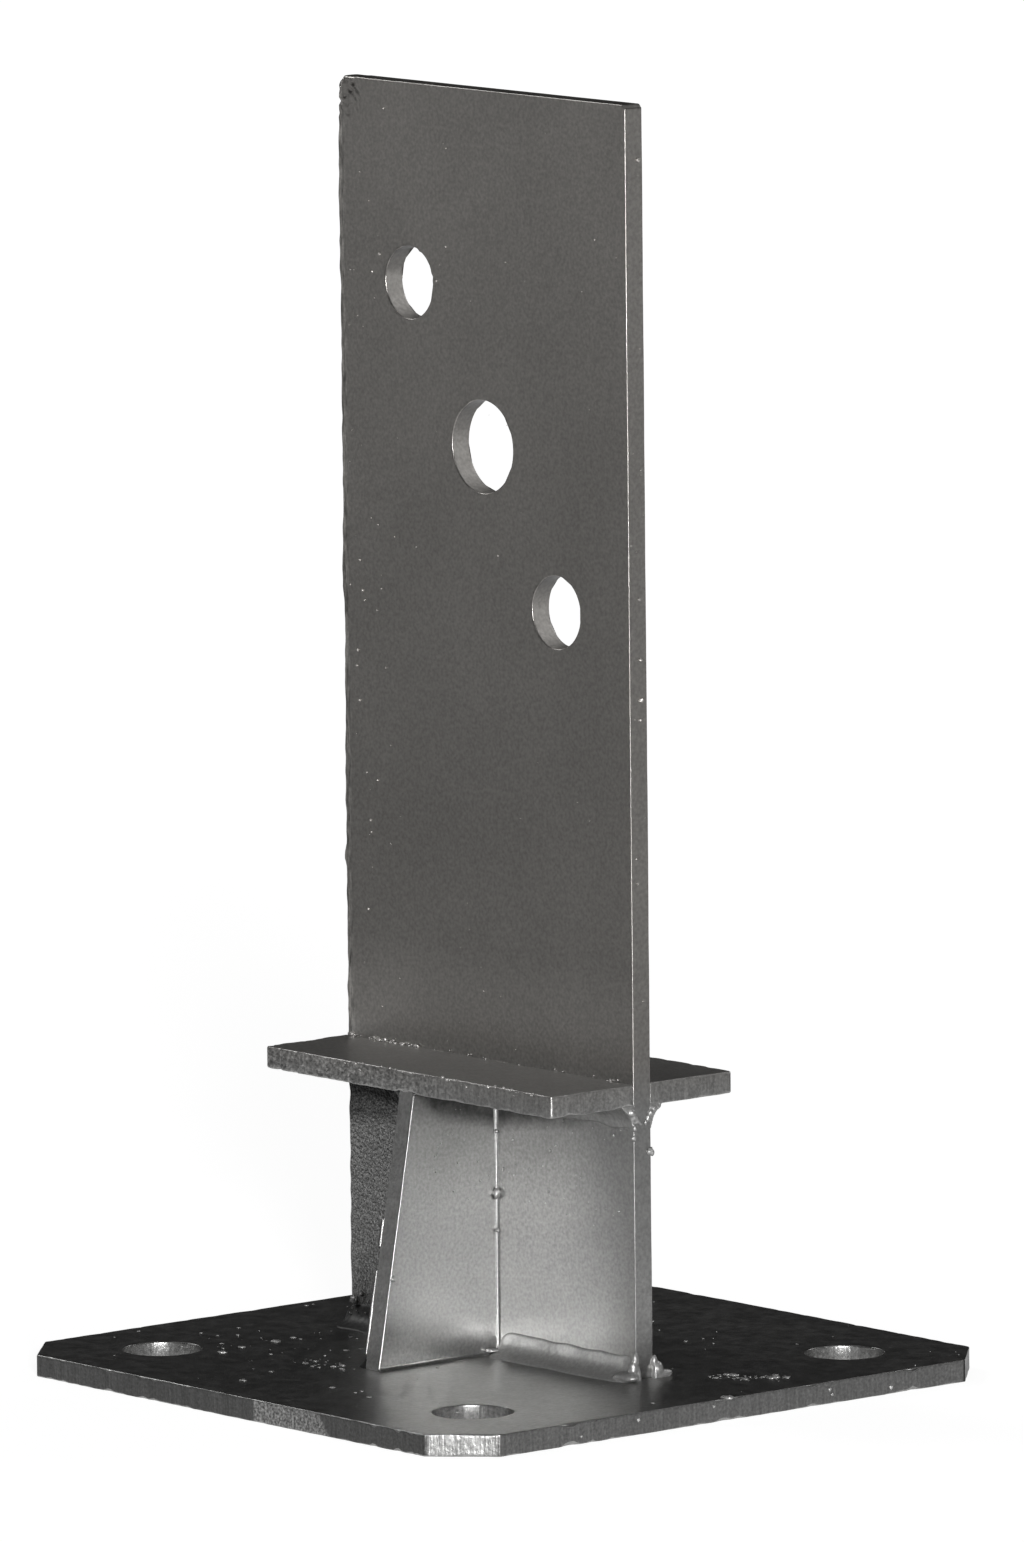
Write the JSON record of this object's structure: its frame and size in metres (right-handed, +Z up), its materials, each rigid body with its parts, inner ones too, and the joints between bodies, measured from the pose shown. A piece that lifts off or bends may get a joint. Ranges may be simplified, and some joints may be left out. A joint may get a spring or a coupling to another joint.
{
  "type": "post base anchor",
  "caption": "Welded steel post base: a bolt-down plate with clipped corners carries an upright knife plate with cross bolt holes, a raised seat and gussets under it.",
  "frame": {"origin": "middle of the base plate's underside, on the ground", "axes": "+Z up along the knife plate's height, X along the knife plate's width, +Y out of its rear face; the front face looks towards -Y"},
  "size_m": [0.16, 0.16, 0.29],
  "materials": {
    "painted_plate": "dark metallic grey paint, semi-gloss, over plain sheared plate",
    "painted_bead": "the same grey paint over rippled weld metal"
  },
  "bodies": {
    "root": {"base_plate": "painted_plate", "knife_plate": "painted_plate", "seat_plate_front": "painted_plate", "seat_plate_rear": "painted_plate", "gusset_front": "painted_plate", "gusset_rear": "painted_plate", "weld_foot_front_right": "painted_bead", "weld_foot_front_left": "painted_bead", "weld_foot_rear_right": "painted_bead", "weld_foot_rear_left": "painted_bead", "weld_seat_front_right": "painted_bead", "weld_seat_front_left": "painted_bead", "weld_seat_rear_right": "painted_bead", "weld_seat_rear_left": "painted_bead", "weld_gusset_foot_front": "painted_bead", "weld_gusset_foot_rear": "painted_bead", "weld_gusset_side_front": "painted_bead", "weld_gusset_side_rear": "painted_bead", "weld_gusset_head_front": "painted_bead", "weld_gusset_head_rear": "painted_bead"}
  },
  "joints": []
}
